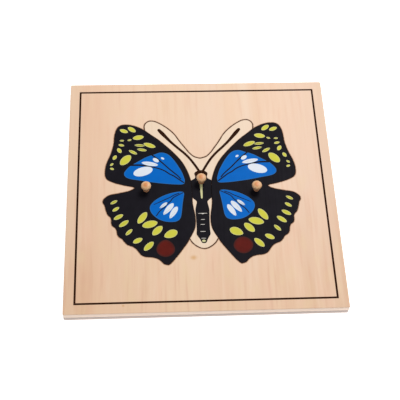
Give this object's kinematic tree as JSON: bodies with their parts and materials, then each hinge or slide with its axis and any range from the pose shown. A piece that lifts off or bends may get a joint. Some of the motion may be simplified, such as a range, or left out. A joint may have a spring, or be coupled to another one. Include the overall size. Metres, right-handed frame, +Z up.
{
  "type": "butterfly peg puzzle",
  "caption": "Square wooden peg puzzle board: a printed butterfly whose wings and body lift out of a flush recess by small turned knobs.",
  "frame": {"origin": "centre of the board's underside, where it rests on a table", "axes": "+Z up out of the printed face, +Y towards the butterfly's antennae, +X towards the wing at the right hand of someone looking down with the antennae pointing away"},
  "size_m": [0.24, 0.24, 0.0199],
  "materials": {
    "board_wood": "sanded pale plywood with a thin clear matt varnish, grain along Y",
    "backing_wood": "sanded plywood, slightly greyer than the top layer",
    "wing_wood": "plywood printed solid black on its face, with heat-browned cut sides",
    "body_wood": "bare pale plywood with a printed body and antennae, and heat-browned cut sides",
    "knob_wood": "turned beech with a satin varnish, warmer end grain on the crown",
    "black_ink": "screen-printed black, semi-matt",
    "blue_ink": "screen-printed blue, semi-matt",
    "yellow_ink": "screen-printed yellow-green, semi-matt",
    "white_ink": "screen-printed white, semi-matt",
    "grey_ink": "screen-printed light grey, semi-matt",
    "red_ink": "screen-printed dark red, semi-matt",
    "border_ink": "screen-printed brown-black line, matt"
  },
  "bodies": {
    "root": {"backing_board": "backing_wood", "puzzle_board": "board_wood", "left_wing": "wing_wood", "right_wing": "wing_wood", "body_piece": "body_wood", "left_knob": "knob_wood", "right_knob": "knob_wood", "body_knob": "knob_wood"}
  },
  "joints": []
}
